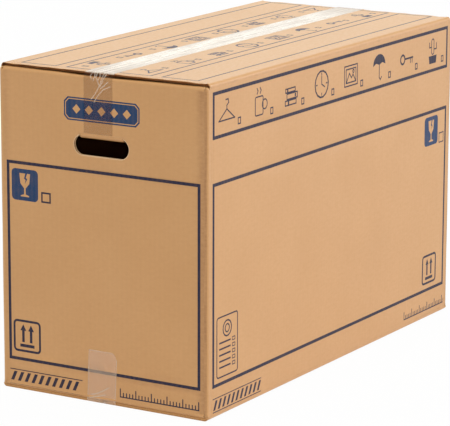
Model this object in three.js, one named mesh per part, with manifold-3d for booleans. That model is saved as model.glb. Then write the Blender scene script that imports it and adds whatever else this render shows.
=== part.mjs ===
// Moving carton: one folded sheet of corrugated board with a glued joint and two hand holes,
// closed top and bottom with a strip of clear packing tape.
// Millimetres, +Z up. X runs across the short front panel and Y along the length.
// The origin is the centre of the underside.
import * as THREE from "three";
import { mergeVertices } from "three/addons/utils/BufferGeometryUtils.js";
import Module from "manifold-3d";

const wasm = await Module();
wasm.setup();

// Board and inside sizes
const insideWidth = 325;
const insideLength = 700;
const insideHeight = 440;
const boardThickness = 4;
const creaseRadius = 1; // inner radius of every fold
const slotWidth = 7; // cut between neighbouring flaps, centred on the upright crease
const seamGap = 2; // between the two outer flaps
const flapGap = 0.4; // air between an outer flap and the inner flap under it

// Glued joint, inside the back left corner
const tabWidth = 35;
const tabTaper = 12; // how far the tab's ends are cut back at its tip
const jointGap = 0.5; // the back panel's raw edge stops short of the side's outer face by this
const jointOverlap = 20; // length of back panel that is made with the back right fold

// Hand holes in the two short panels
const handHoleWidth = 88;
const handHoleHeight = 28;
const handHoleDrop = 100; // from the top of the box to the middle of the hole
const tongueGap = 1; // between the folded tongue and the wall at the fold
const tongueLean = 15; // degrees that the tongue springs away from the wall
const tongueRoot = 5; // length of the fold strip that lies in the wall
const kerf = 0.5; // width of the cut at each end of the tongue's fold

// Clear tape
const tapeWidth = 46;
const tapeThickness = 0.1;
const tapeGap = 0.1; // adhesive and air under the tape
const topTapeReach = 84; // how far it comes down the short panels
const topTapeOffset = -5; // the strips were laid a little off centre
const bottomTapeReach = 74;
const bottomTapeOffset = -1.5;

const bendStep = 11.25; // degrees for one facet of a bend
const arcPoints = 16; // facets in the half circle at each end of a hand hole
const clearOfWall = 1; // how far a cutter runs past what it cuts

// Sizes that follow from those above
const bendRadius = creaseRadius + boardThickness / 2;
const layerPitch = boardThickness + flapGap;
const flapLength = (insideWidth + boardThickness - seamGap) / 2;
const longWallCentre = (insideWidth + boardThickness) / 2;
const shortWallCentre = (insideLength + boardThickness) / 2;
const outerFlapLow = tapeThickness + tapeGap + boardThickness / 2;
const innerFlapLow = outerFlapLow + layerPitch;
const innerFlapHigh = innerFlapLow + boardThickness + insideHeight;
const outerFlapHigh = innerFlapHigh + layerPitch;
const boxTop = outerFlapHigh + boardThickness / 2;
const boxBottom = outerFlapLow - boardThickness / 2;
const handHoleCentre = boxTop - handHoleDrop;
const hingeWidth = handHoleWidth - handHoleHeight;
const hingeTop = handHoleCentre + handHoleHeight / 2 + tongueGap / 2 + boardThickness;

const front = new THREE.Vector3(0, -1, 0);
const back = new THREE.Vector3(0, 1, 0);
const right = new THREE.Vector3(1, 0, 0);
const left = new THREE.Vector3(-1, 0, 0);
const up = new THREE.Vector3(0, 0, 1);

// Outline of a bent strip seen edge on, from its middle line. A leg is a straight run
// or a bend: turn is in degrees, positive to the left, and radius is the inner one.
function stripOutline(start, heading, legs, thickness) {
  const leftSide = [];
  const rightSide = [];
  const place = start.clone();
  let angle = THREE.MathUtils.degToRad(heading);
  const mark = () => {
    const offset = new THREE.Vector2(-Math.sin(angle), Math.cos(angle)).multiplyScalar(thickness / 2);
    leftSide.push(place.clone().add(offset));
    rightSide.unshift(place.clone().sub(offset));
  };
  const advance = (distance, direction) => {
    place.x += distance * Math.cos(direction);
    place.y += distance * Math.sin(direction);
  };
  mark();
  for (const leg of legs) {
    if (leg.run) {
      advance(leg.run, angle);
      mark();
    }
    if (leg.turn) {
      const steps = Math.ceil(Math.abs(leg.turn) / bendStep);
      const step = THREE.MathUtils.degToRad(leg.turn) / steps;
      const chord = 2 * (leg.radius + thickness / 2) * Math.sin(Math.abs(step) / 2);
      for (let i = 0; i < steps; i += 1) {
        advance(chord, angle + step / 2);
        angle += step;
        mark();
      }
    }
  }
  return new THREE.Shape([...leftSide, ...rightSide]);
}

// Outline of a slot with half-round ends, centred on (0, middle)
function roundEndedOutline(width, height, middle) {
  const radius = height / 2;
  const straight = width / 2 - radius;
  const shape = new THREE.Shape();
  shape.moveTo(-straight, middle - radius);
  shape.lineTo(straight, middle - radius);
  shape.absarc(straight, middle, radius, -Math.PI / 2, Math.PI / 2, false);
  shape.lineTo(-straight, middle + radius);
  shape.absarc(-straight, middle, radius, Math.PI / 2, (3 * Math.PI) / 2, false);
  return shape;
}

function rectangleOutline(halfWidth, low, high) {
  return new THREE.Shape([
    new THREE.Vector2(-halfWidth, low),
    new THREE.Vector2(halfWidth, low),
    new THREE.Vector2(halfWidth, high),
    new THREE.Vector2(-halfWidth, high),
  ]);
}

function toSolid(geometry) {
  geometry.deleteAttribute("normal");
  geometry.deleteAttribute("uv");
  const merged = mergeVertices(geometry);
  const mesh = new wasm.Mesh({
    numProp: 3,
    vertProperties: new Float32Array(merged.attributes.position.array),
    triVerts: new Uint32Array(merged.index.array),
  });
  return new wasm.Manifold(mesh);
}

// Solid of an outline whose first axis points along across, its second along rise,
// and which runs from start to end along the third
function extrudeOutline(outline, across, rise, start, end) {
  const geometry = new THREE.ExtrudeGeometry(outline, {
    depth: end - start,
    bevelEnabled: false,
    curveSegments: arcPoints,
  });
  const run = across.clone().cross(rise);
  geometry.translate(0, 0, start);
  geometry.applyMatrix4(new THREE.Matrix4().makeBasis(across, rise, run));
  return toSolid(geometry);
}

// A wall with the flap above and the flap below it, on the side that faces outward
function wallWithFlaps(outward, wallCentre, panelWidth, flapLow, flapHigh) {
  const flapRun = flapLength - bendRadius;
  const fold = { turn: 90, radius: creaseRadius };
  const legs = [{ run: flapRun }, fold, { run: flapHigh - flapLow - 2 * bendRadius }, fold, { run: flapRun }];
  const start = new THREE.Vector2(wallCentre - flapLength, flapLow);
  const outline = stripOutline(start, 0, legs, boardThickness);
  const half = (panelWidth - slotWidth) / 2;
  return extrudeOutline(outline, outward, up, -half, half);
}

// The four walls and the glue tab, seen from above, from the tab round to the back panel
function wallsAndTab() {
  const tabCentre = shortWallCentre - boardThickness;
  const fold = { turn: 90, radius: creaseRadius };
  const legs = [
    { run: tabWidth - bendRadius },
    fold,
    { run: tabCentre + shortWallCentre - 2 * bendRadius },
    fold,
    { run: 2 * (longWallCentre - bendRadius) },
    fold,
    { run: 2 * (shortWallCentre - bendRadius) },
    fold,
    { run: jointOverlap },
  ];
  const start = new THREE.Vector2(tabWidth - longWallCentre, tabCentre);
  const low = innerFlapLow + bendRadius;
  const high = innerFlapHigh - bendRadius;
  const strip = extrudeOutline(stripOutline(start, 180, legs, boardThickness), right, back, low, high);
  const backRun = [{ run: 2 * longWallCentre + boardThickness / 2 - bendRadius - jointGap }];
  const backStart = new THREE.Vector2(longWallCentre - bendRadius, shortWallCentre);
  const backPanel = extrudeOutline(stripOutline(backStart, 180, backRun, boardThickness), right, back, low, high);
  return strip.subtract(tabEndCuts(low, high, tabCentre)).add(backPanel);
}

// The two wedges that taper the glue tab
function tabEndCuts(low, high, tabCentre) {
  const root = bendRadius - longWallCentre;
  const tip = tabWidth - longWallCentre + clearOfWall;
  const wedge = (end, taper) =>
    extrudeOutline(
      new THREE.Shape([
        new THREE.Vector2(-root, end),
        new THREE.Vector2(-tip, end),
        new THREE.Vector2(-tip, end + taper),
      ]),
      left,
      up,
      tabCentre - boardThickness / 2 - clearOfWall,
      tabCentre + boardThickness / 2 + clearOfWall,
    );
  return wedge(low, tabTaper).add(wedge(high, -tabTaper));
}

// What is punched out of a short wall: the slot, and the wall above it where the tongue folds
function handHoleCutter(outward) {
  const across = outward.clone().cross(up);
  const near = -shortWallCentre - boardThickness / 2 - clearOfWall;
  const far = -shortWallCentre + boardThickness / 2 + clearOfWall;
  const slot = roundEndedOutline(handHoleWidth, handHoleHeight, handHoleCentre);
  const hinge = rectangleOutline(hingeWidth / 2 + kerf, handHoleCentre, hingeTop);
  const cut = (outline) => extrudeOutline(outline, across, up, near, far);
  return cut(slot).add(cut(hinge));
}

// The tongue of a hand hole, folded in and up behind the wall
function tongue(outward) {
  const across = outward.clone().cross(up);
  const legs = [
    { run: tongueRoot },
    { turn: tongueLean - 180, radius: tongueGap / 2 },
    { run: handHoleHeight },
  ];
  const start = new THREE.Vector2(shortWallCentre, hingeTop + tongueRoot);
  const strip = stripOutline(start, -90, legs, boardThickness);
  const folded = extrudeOutline(strip, outward, up, -handHoleWidth / 2, handHoleWidth / 2);
  const inner = -shortWallCentre - boardThickness;
  const outer = -shortWallCentre + 2 * boardThickness + tongueGap + handHoleHeight;
  const trim = (outline) => extrudeOutline(outline, across, up, inner, outer);
  const blade = roundEndedOutline(handHoleWidth, handHoleHeight, hingeTop + handHoleHeight / 2);
  const hinge = rectangleOutline(hingeWidth / 2, handHoleCentre, hingeTop + handHoleHeight / 2);
  return folded.intersect(trim(blade).add(trim(hinge)));
}

// The whole folded sheet
function carton() {
  const panelLength = insideLength + boardThickness;
  const panelWidth = insideWidth + boardThickness;
  let sheet = wallsAndTab();
  for (const side of [right, left]) {
    sheet = sheet.add(wallWithFlaps(side, longWallCentre, panelLength, outerFlapLow, outerFlapHigh));
  }
  for (const end of [front, back]) {
    sheet = sheet.add(wallWithFlaps(end, shortWallCentre, panelWidth, innerFlapLow, innerFlapHigh));
    sheet = sheet.subtract(handHoleCutter(end)).add(tongue(end));
  }
  return sheet;
}

// A strip of tape pulled tight over the outer flaps and down both short panels.
// Where it leaves the panel's fold it runs straight to the outer flap's end.
function tape(reach, offset, direction) {
  const flapFace = direction > 0 ? boxTop : -boxBottom;
  const foldCentre = new THREE.Vector2(
    bendRadius - shortWallCentre,
    -layerPitch - boardThickness / 2 - bendRadius,
  );
  const flapEnd = new THREE.Vector2((slotWidth - panelSpan()) / 2, 0);
  const foldFace = creaseRadius + boardThickness + tapeGap;
  const reachAcross = flapEnd.clone().sub(foldCentre);
  const lean = Math.asin((foldFace - tapeGap) / reachAcross.length());
  const slope = THREE.MathUtils.radToDeg(reachAcross.angle() - lean);
  const bridge = reachAcross.length() * Math.cos(lean);
  const overFold = { turn: slope - 90, radius: foldFace };
  const overFlapEnd = { turn: -slope, radius: tapeGap };
  const legs = [
    { run: reach + foldCentre.y },
    overFold,
    { run: bridge },
    overFlapEnd,
    { run: -2 * flapEnd.x },
    overFlapEnd,
    { run: bridge },
    overFold,
    { run: reach + foldCentre.y },
  ];
  const start = new THREE.Vector2(foldCentre.x - foldFace - tapeThickness / 2, -reach);
  const outline = stripOutline(start, 90, legs, tapeThickness);
  const along = new THREE.Vector3(0, direction, 0);
  const rise = new THREE.Vector3(0, 0, direction);
  const strip = extrudeOutline(outline, along, rise, offset - tapeWidth / 2, offset + tapeWidth / 2);
  return strip.translate([0, 0, direction * flapFace]);
}

function panelSpan() {
  return insideLength + boardThickness;
}

function meshOf(name, solid, material) {
  const { vertProperties, triVerts } = solid.getMesh();
  const geometry = new THREE.BufferGeometry();
  geometry.setAttribute("position", new THREE.BufferAttribute(vertProperties, 3));
  geometry.setIndex(new THREE.BufferAttribute(triVerts, 1));
  geometry.computeVertexNormals();
  const mesh = new THREE.Mesh(geometry, material);
  mesh.name = name;
  return mesh;
}

const kraftBoard = new THREE.MeshStandardMaterial({ color: 0xc89b68, roughness: 0.85, metalness: 0 });
const clearTape = () =>
  new THREE.MeshStandardMaterial({ color: 0xd8b98c, roughness: 0.25, metalness: 0, transparent: true, opacity: 0.5 });

const box = new THREE.Group();
box.add(meshOf("carton", carton(), kraftBoard));
box.add(meshOf("top_tape", tape(topTapeReach, topTapeOffset, 1), clearTape()));
box.add(meshOf("bottom_tape", tape(bottomTapeReach, bottomTapeOffset, -1), clearTape()));

export default box;
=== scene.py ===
import math

import bmesh
import bpy
from mathutils import Matrix, Vector, noise
from mathutils.geometry import delaunay_2d_cdt


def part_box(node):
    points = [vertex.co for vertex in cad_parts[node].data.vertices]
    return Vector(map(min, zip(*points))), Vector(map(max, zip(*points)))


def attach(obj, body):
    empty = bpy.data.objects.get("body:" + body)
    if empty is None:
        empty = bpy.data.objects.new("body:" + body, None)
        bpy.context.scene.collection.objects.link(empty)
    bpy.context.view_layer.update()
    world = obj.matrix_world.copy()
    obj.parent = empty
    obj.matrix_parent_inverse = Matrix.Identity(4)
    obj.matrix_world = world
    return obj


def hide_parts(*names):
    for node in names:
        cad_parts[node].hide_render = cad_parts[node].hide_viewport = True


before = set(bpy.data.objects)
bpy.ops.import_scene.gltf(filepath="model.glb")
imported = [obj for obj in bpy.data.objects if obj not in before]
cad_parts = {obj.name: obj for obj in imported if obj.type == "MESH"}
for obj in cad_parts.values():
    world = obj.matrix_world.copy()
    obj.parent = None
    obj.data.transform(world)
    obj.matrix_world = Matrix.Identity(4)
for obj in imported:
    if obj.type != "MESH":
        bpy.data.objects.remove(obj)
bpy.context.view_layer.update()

mm = 0.001
up = Vector((0, 0, 1))


# Helpers for objects and for node trees
def placed(name, data):
    thing = bpy.data.objects.new(name, data)
    bpy.context.scene.collection.objects.link(thing)
    return thing


def feed(tree, node, inputs):
    # Gives sockets of a node, by name or number, a fixed value or what another node puts out
    for key, value in inputs.items():
        if isinstance(value, bpy.types.NodeSocket):
            tree.links.new(value, node.inputs[key])
        else:
            node.inputs[key].default_value = value
    return node


def addNode(tree, kind, inputs=None, **settings):
    node = tree.nodes.new("ShaderNode" + kind)
    for key, value in settings.items():
        setattr(node, key, value)
    return feed(tree, node, inputs or {})


def combine(tree, operation, first, second=0.0):
    return addNode(tree, "Math", {0: first, 1: second}, operation=operation).outputs[0]


# Camera and light
cameraSetup = {
    "azimuth": 31.09, "elevation": 12.561, "roll": 0.156,
    "distance": 4.0044, "targetHeight": 0.22,
    "slideRight": -0.01747, "slideUp": -0.01996,
    "focalPixels": 2750.9, "imageWidth": 450, "sensor": 36.0,
}


def makeCamera(setup):
    azimuth, elevation, roll = (math.radians(setup[key]) for key in ("azimuth", "elevation", "roll"))
    towards = Vector((math.sin(azimuth) * math.cos(elevation),
                      -math.cos(azimuth) * math.cos(elevation),
                      math.sin(elevation)))
    right = (-towards).cross(up).normalized()
    top = right.cross(-towards)
    right, top = right * math.cos(roll) + top * math.sin(roll), top * math.cos(roll) - right * math.sin(roll)
    target = Vector((0, 0, setup["targetHeight"])) + right * setup["slideRight"] + top * setup["slideUp"]
    lens = bpy.data.cameras.new("photoCamera")
    lens.sensor_width = setup["sensor"]
    lens.lens = setup["focalPixels"] / setup["imageWidth"] * setup["sensor"]
    lens.clip_end = 50
    camera = placed("photoCamera", lens)
    camera.matrix_world = Matrix.Translation(target + towards * setup["distance"]) @ Matrix((
        (right.x, top.x, towards.x), (right.y, top.y, towards.y), (right.z, top.z, towards.z))).to_4x4()
    bpy.context.scene.camera = camera


lightSetup = {
    "worldStrength": 0.485, "worldColour": (1.0, 0.955, 0.925, 1),
    "lamps": {
        "key": {"strength": 1.25, "direction": (0.12, -0.22, 1.0), "angle": 35, "colour": (1.0, 1.10, 1.0)},
        "back": {"strength": 0.26, "direction": (-0.40, 0.80, 0.45), "angle": 30, "colour": (1, 1, 1)},
        "side": {"strength": 1.12, "direction": (0.72, 0.68, 0.18), "angle": 40, "colour": (1.0, 1.02, 1.08)},
    },
    # the floor glows white to the camera, apart from a small share that keeps its shadow
    "floorSize": 8.0, "floorColour": (0.9, 0.9, 0.9, 1), "floorGlow": 0.96,
}


def seesDirectly(tree):
    # 1 for camera, mirror and see-through rays, so the backdrop looks white to them
    rays = addNode(tree, "LightPath").outputs
    reflected = combine(tree, "MAXIMUM", rays["Is Camera Ray"], rays["Is Glossy Ray"])
    return combine(tree, "MAXIMUM", reflected, rays["Is Transmission Ray"])


def showMixed(tree, output, share, first, second):
    # Sends a mix of two shaders to the output of a tree
    mix = addNode(tree, "MixShader", {0: share, 1: first.outputs[0], 2: second.outputs[0]})
    feed(tree, output, {"Surface": mix.outputs[0]})


def makeLights(setup):
    world = bpy.data.worlds.new("paleRoom")
    bpy.context.scene.world = world
    world.use_nodes = True
    tree = world.node_tree
    tree.nodes.clear()
    lit = addNode(tree, "Background", {"Strength": setup["worldStrength"], "Color": setup["worldColour"]})
    seen = addNode(tree, "Background")
    showMixed(tree, addNode(tree, "OutputWorld"), seesDirectly(tree), lit, seen)
    for name, lamp in setup["lamps"].items():
        sun = bpy.data.lights.new(name + "Light", "SUN")
        sun.energy = lamp["strength"]
        sun.angle = math.radians(lamp["angle"])
        sun.color = lamp["colour"]
        turned = Vector(lamp["direction"]).to_track_quat("Z", "Y").to_euler()
        placed(name + "Light", sun).rotation_euler = turned


def makeFloor(setup):
    half = setup["floorSize"] / 2
    corners = [(half * x, half * y, 0) for x, y in ((-1, -1), (1, -1), (1, 1), (-1, 1))]
    mesh = bpy.data.meshes.new("studioFloor")
    mesh.from_pydata(corners, [], [(0, 1, 2, 3)])
    floor = placed("studioFloor", mesh)
    material = bpy.data.materials.new("studioFloor")
    material.use_nodes = True
    tree = material.node_tree
    tree.nodes.clear()
    paper = addNode(tree, "BsdfDiffuse", {"Color": setup["floorColour"]})
    glow = addNode(tree, "Emission", {"Strength": 1.0})
    share = combine(tree, "MULTIPLY", seesDirectly(tree), setup["floorGlow"])
    showMixed(tree, addNode(tree, "OutputMaterial"), share, paper, glow)
    mesh.materials.append(material)


makeCamera(cameraSetup)
makeLights(lightSetup)
makeFloor(lightSetup)
bpy.context.scene.view_settings.view_transform = "Standard"
print("camera, light and floor are in place")


# Materials
def nodeTree(name):
    material = bpy.data.materials.new(name)
    material.use_nodes = True
    tree = material.node_tree
    return material, tree, tree.nodes["Principled BSDF"]


def scaledUv(tree, acrossScale, alongScale):
    uv = addNode(tree, "UVMap", uv_map="boardUv").outputs[0]
    return addNode(tree, "Mapping", {"Vector": uv, "Scale": (acrossScale, alongScale, 1)}).outputs[0]


def noiseOn(tree, vector, scale, detail, roughness=0.5):
    inputs = {"Vector": vector, "Scale": scale, "Detail": detail, "Roughness": roughness}
    return addNode(tree, "TexNoise", inputs).outputs["Fac"]


def remap(tree, value, low, high, toLow, toHigh):
    inputs = {"Value": value, "From Min": low, "From Max": high, "To Min": toLow, "To Max": toHigh}
    return addNode(tree, "MapRange", inputs).outputs["Result"]


def mixColours(tree, factor, first, second):
    first, second = ((*value, 1) if isinstance(value, tuple) else value for value in (first, second))
    return addNode(tree, "Mix", {0: factor, 6: first, 7: second}, data_type="RGBA").outputs[2]


def addBump(tree, shader, height, strength, distance):
    bump = addNode(tree, "Bump", {"Height": height, "Strength": strength, "Distance": distance})
    feed(tree, shader, {"Normal": bump.outputs[0]})


kraftLook = {
    "pale": (0.720, 0.375, 0.145), "mid": (0.680, 0.345, 0.126), "dark": (0.610, 0.292, 0.098),
    # crushed: the colour that the painted shade in folds and creases darkens towards
    "fleck": (0.330, 0.165, 0.075), "crushed": (0.37, 0.155, 0.045), "cut": (0.93, 0.66, 0.40),
    "flutePitch": 7.5 * mm, "fluteTone": 0.02, "fluteShade": (0.2, 0.1, 0.05), "fluteDepth": 0.05 * mm,
    "bump": 0.55,
    "roughness": (0.34, 0.48), "shine": 0.70, "inkShine": 0.12,
    "sheen": 0.30, "sheenRoughness": 0.35, "sheenTint": (1.0, 0.80, 0.38, 1),
}
inkLook = {"navy": (0.016, 0.024, 0.062), "blue": (0.007, 0.054, 0.155), "coverage": 0.985}


def kraftTones(tree):
    # Colour, height and roughness of the kraft liner, shared by bare and printed board
    look = kraftLook
    clouds = noiseOn(tree, scaledUv(tree, 1, 1), 9, 3)
    pulp = noiseOn(tree, scaledUv(tree, 1, 2.2), 110, 5, 0.65)
    fibres = noiseOn(tree, scaledUv(tree, 220, 2100), 1, 4, 0.7)
    specks = noiseOn(tree, scaledUv(tree, 700, 1500), 1, 2, 0.5)
    parts = addNode(tree, "SeparateXYZ", {0: addNode(tree, "UVMap", uv_map="boardUv").outputs[0]})
    phase = combine(tree, "MULTIPLY", parts.outputs[0], 2 * math.pi / look["flutePitch"])
    ridge = combine(tree, "SINE", phase)
    colour = mixColours(tree, remap(tree, clouds, 0.3, 0.7, 0, 1), look["mid"], look["pale"])
    colour = mixColours(tree, remap(tree, pulp, 0.35, 0.75, 0, 0.38), colour, look["dark"])
    colour = mixColours(tree, remap(tree, fibres, 0.52, 0.8, 0, 0.30), colour, look["pale"])
    colour = mixColours(tree, remap(tree, specks, 0.66, 0.78, 0, 0.35), colour, look["fleck"])
    colour = mixColours(tree, remap(tree, ridge, -1, 1, 0, look["fluteTone"]), colour, look["fluteShade"])
    # Painted shade from a mesh attribute: darker along the upright folds, in the crease lines under the top
    # and bottom folds and down the hand-hole tongues
    paintedShade = addNode(tree, "Attribute", attribute_name="paintedShade").outputs["Fac"]
    paintedShade = combine(tree, "MULTIPLY", paintedShade, remap(tree, pulp, 0.3, 0.7, 0.6, 1.1))
    colour = mixColours(tree, paintedShade, colour, look["crushed"])
    height = combine(tree, "ADD", combine(tree, "MULTIPLY", ridge, 0.25),
                     combine(tree, "ADD", combine(tree, "MULTIPLY", fibres, 0.5),
                             combine(tree, "MULTIPLY", pulp, 0.6)))
    roughness = remap(tree, pulp, 0.3, 0.7, *look["roughness"])
    return colour, height, roughness, ridge, fibres


def boardMaterial(name, ink=None, paleness=0.0):
    material, tree, shader = nodeTree(name)
    colour, height, roughness, ridge, fibres = kraftTones(tree)
    if paleness:
        share = remap(tree, fibres, 0.3, 0.7, paleness * 0.6, paleness)
        colour = mixColours(tree, share, colour, kraftLook["cut"])
    if ink:
        wear = noiseOn(tree, scaledUv(tree, 900, 900), 1, 3, 0.6)
        patchy = noiseOn(tree, scaledUv(tree, 60, 60), 1, 3, 0.6)
        cover = combine(tree, "SUBTRACT", inkLook["coverage"], remap(tree, wear, 0.55, 0.8, 0, 0.16))
        cover = combine(tree, "SUBTRACT", cover, remap(tree, patchy, 0.4, 0.8, 0, 0.05))
        cover = combine(tree, "SUBTRACT", cover, remap(tree, ridge, -1, 1, 0.03, 0))
        colour = mixColours(tree, cover, colour, inkLook[ink])
    feed(tree, shader, {"Base Color": colour, "Roughness": roughness,
                        "Specular IOR Level": kraftLook["inkShine" if ink else "shine"]})
    if not ink:
        feed(tree, shader, {"Sheen Weight": kraftLook["sheen"], "Sheen Tint": kraftLook["sheenTint"],
                            "Sheen Roughness": kraftLook["sheenRoughness"]})
    addBump(tree, shader, height, kraftLook["bump"], kraftLook["fluteDepth"])
    return material


flutingLook = {
    "dark": (0.60, 0.32, 0.135), "pale": (0.78, 0.44, 0.19), "roughness": (0.75, 0.92), "shine": 0.2,
    "bump": 0.5, "grainDepth": 0.05 * mm,
}


def flutingMaterial(look):
    material, tree, shader = nodeTree("flutingPaper")
    grain = noiseOn(tree, addNode(tree, "TexCoord").outputs["Object"], 900, 4, 0.65)
    feed(tree, shader, {
        "Base Color": mixColours(tree, remap(tree, grain, 0.3, 0.7, 0, 1), look["dark"], look["pale"]),
        "Roughness": remap(tree, grain, 0.3, 0.7, *look["roughness"]), "Specular IOR Level": look["shine"]})
    addBump(tree, shader, grain, look["bump"], look["grainDepth"])
    return material


bareBoard = boardMaterial("kraftLiner")
navyPrint = boardMaterial("navyPrint", "navy")
bluePrint = boardMaterial("bluePrint", "blue")
cutEdge = boardMaterial("cutEdge", paleness=0.8)
flutingPaper = flutingMaterial(flutingLook)
print("board materials are made")


# The folded sheet: sizes of the board, and the four panels it folds into
board = {
    "thickness": 4 * mm, "liner": 0.35 * mm, "creaseRadius": 1 * mm, "flapGap": 0.4 * mm,
    "slotWidth": 7 * mm, "seamGap": 2 * mm, "tabWidth": 35 * mm, "jointGap": 0.5 * mm,
    "bendFacets": 8, "wallGrid": 7, "flapGrid": 15, "innerGrid": 16,
    # finer stations, in millimetres: from a panel's top and bottom folds, and in from a flap's two ends
    "foldStations": (0.7, 1.4, 2.1, 2.9, 4.0), "endStations": (1.8, 2.7, 3.6, 4.5, 6, 7.3, 8.2, 9.1, 12),
}
cartonLow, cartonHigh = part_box("carton")
bendMiddle = board["creaseRadius"] + board["thickness"] / 2
bendOutside = board["creaseRadius"] + board["thickness"]
bendLength = bendMiddle * math.pi / 2
layerPitch = board["thickness"] + board["flapGap"]


def makePanel(outward, face, halfLength, layer, acrossLow, acrossHigh):
    panel = {
        "outward": Vector(outward), "across": up.cross(Vector(outward)),
        "face": face, "halfLength": halfLength,
        "low": cartonLow.z + layer * layerPitch + bendOutside,
        "high": cartonHigh.z - layer * layerPitch - bendOutside,
        "acrossLow": acrossLow, "acrossHigh": acrossHigh, "layer": layer,
    }
    panel["rise"] = panel["high"] - panel["low"]
    panel["halfFlap"] = halfLength - board["thickness"] / 2 - board["slotWidth"] / 2
    return panel


halfWidth, halfLength = cartonHigh.x, cartonHigh.y
flapLength = halfWidth - board["thickness"] / 2 - board["seamGap"] / 2
flapRun = flapLength - bendMiddle
longTangent = halfLength - bendOutside
shortTangent = halfWidth - bendOutside
panels = {
    "front": makePanel((0, -1, 0), halfLength, halfWidth, 1, -shortTangent, shortTangent),
    "right": makePanel((1, 0, 0), halfWidth, halfLength, 0, -longTangent, longTangent),
    "back": makePanel((0, 1, 0), halfLength, halfWidth, 1, -shortTangent, halfWidth - board["jointGap"]),
    "left": makePanel((-1, 0, 0), halfWidth, halfLength, 0, board["thickness"] - longTangent, longTangent),
}

# What filling, handling and age have done to the box, and where painted shade darkens its folds
settle = {
    "wallBulge": 0.9 * mm, "waviness": 0.35 * mm, "fadeReach": 40 * mm,
    "creaseDepth": 0.35 * mm, "creaseWidth": 0.9 * mm, "creaseLines": (3.6 * mm, 8.2 * mm),
    "foldLine": 1.1 * mm, "foldWidth": 0.8 * mm, "foldDepth": 0.25 * mm,
    # painted shade along the upright folds and in the crease under the top and bottom folds
    "uprightShadeStrength": 0.72, "foldShade": 0.42, "darkest": 0.8, "shadeStart": 4 * mm, "shadeWidth": 6 * mm,
    "flapSag": 4.2 * mm, "sagGrip": 8 * mm, "bottomSagShare": 0.15,
    "flapEdgeWave": 1.5 * mm, "edgeWaveReach": 9 * mm,
    "lowFoldSquare": 1.9 * mm, "uprightSquare": 0.6 * mm, "uprightWorn": 0.25 * mm,
    "lowFlapReach": 5.2 * mm, "tornBack": 5.5 * mm,
}


def smooth(value):
    value = min(max(value, 0.0), 1.0)
    return value * value * (3 - 2 * value)


def relief(panel, across, along):
    # How far the sheet stands out from its drawn surface, from settling and handling
    rise = panel["rise"]
    edge = panel["halfFlap"] - abs(across)
    if 0 <= along <= rise:
        reach = settle["fadeReach"]
        fade = smooth(along / reach) * smooth((rise - along) / reach) * smooth(edge / reach)
        bulge = settle["wallBulge"] * math.cos(math.pi * across / (2.2 * panel["halfLength"]))
        wave = settle["waviness"] * noise.noise(Vector((across * 7, along * 7, 3 * panel["face"])))
        lift = fade * (bulge * math.sin(math.pi * along / rise) + wave)
        for line in settle["creaseLines"]:
            distance = abs(edge - line) / settle["creaseWidth"]
            wander = 0.6 + 0.4 * noise.noise(Vector((line * 900, along * 9, panel["face"])))
            lift -= settle["creaseDepth"] * wander * math.exp(-distance * distance)
        return lift - settle["foldDepth"] * foldCrush(panel, across, along)
    reach = max(-along, along - rise) - bendLength
    if reach < 0:
        if not panel["layer"]:
            return 0.0
        turned = 1 + reach / bendLength
        square = settle["lowFoldSquare"] * math.sin(math.pi * turned) ** 2 if along < 0 else 0.0
        return square + smooth(turned) * flapRelief(panel, across, 0.0, along > 0)
    return flapRelief(panel, across, reach, along > 0)


def foldCrush(panel, across, along):
    # 1 where the wall is crushed along its top and bottom folds, in uneven stretches
    if panel["layer"]:
        return 0.0
    distance = (min(along, panel["rise"] - along) - settle["foldLine"]) / settle["foldWidth"]
    uneven = 0.35 + 1.3 * noise.noise(Vector((across * 90, along * 20, panel["face"] * 5)))
    return max(uneven, 0.0) * math.exp(-distance * distance)


def paintedShadeAt(panel, across, along):
    # Painted shade on the board: along its upright folds and in the crease just under its top and bottom
    # folds
    if not 0 <= along <= panel["rise"]:
        return 0.0
    edge = max(panel["halfFlap"] - abs(across) - settle["shadeStart"], 0) / settle["shadeWidth"]
    upright = 0.7 + 0.4 * noise.noise(Vector((across * 30, along * 11, panel["face"])))
    # The painted shade is faint on the long panels, and on the short ones strongest along their right-hand
    # fold
    share = 0.12 if panel["layer"] == 0 else 1.0 if across > 0 else 0.35
    upright = upright * math.exp(-edge * edge) * share
    # painted shade in the crease line under the top and bottom folds, where the wall is dented
    folded = settle["foldShade"] * foldCrush(panel, across, along)
    return min(max(settle["uprightShadeStrength"] * upright, folded), settle["darkest"])


def flapRelief(panel, across, reach, isTop):
    # Inner flaps sag a little away from the outer ones, and the outer flaps' ends are uneven
    if panel["layer"]:
        hollow = math.cos(math.pi * across / (2.3 * panel["halfFlap"]))
        wave = 0.75 + 0.45 * noise.noise(Vector((across * 22, 7.3, panel["face"])))
        share = 0.5 + 0.5 * smooth(reach / settle["sagGrip"])
        return -settle["flapSag"] * hollow * wave * share * (1 if isTop else settle["bottomSagShare"])
    nearEnd = 1 - smooth((panel["halfFlap"] - abs(across)) / settle["edgeWaveReach"])
    ripple = noise.noise(Vector((reach * 65, across * 0.5, panel["face"] * 9)))
    return -settle["flapEdgeWave"] * nearEnd * (0.5 + 0.5 * ripple) * (1 if isTop else 0)


def sheetPoint(panel, across, along, depth):
    # Place of a point of the sheet: across its panel, along its profile and depth below the outer face
    rise, face = panel["rise"], panel["face"]
    out = relief(panel, across, along) - depth
    if 0 <= along <= rise:
        return panel["outward"] * (face + out) + panel["across"] * across + up * (panel["low"] + along)
    beyond = max(-along, along - rise)
    side = 1 if along > 0 else -1
    centre = panel["high"] if side > 0 else panel["low"]
    radius = bendOutside + out
    angle = min(beyond / bendMiddle, math.pi / 2)
    flat = max(beyond - bendLength, 0)
    outDistance = face - bendOutside + radius * math.cos(angle) - flat
    return (panel["outward"] * outDistance + panel["across"] * across
            + up * (centre + side * radius * math.sin(angle)))


# Shapes of ink, as lists of closed loops in millimetres. A point inside an odd number of loops is inked.
def rectangle(left, low, right, high):
    return [(left, low), (right, low), (right, high), (left, high)]


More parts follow.
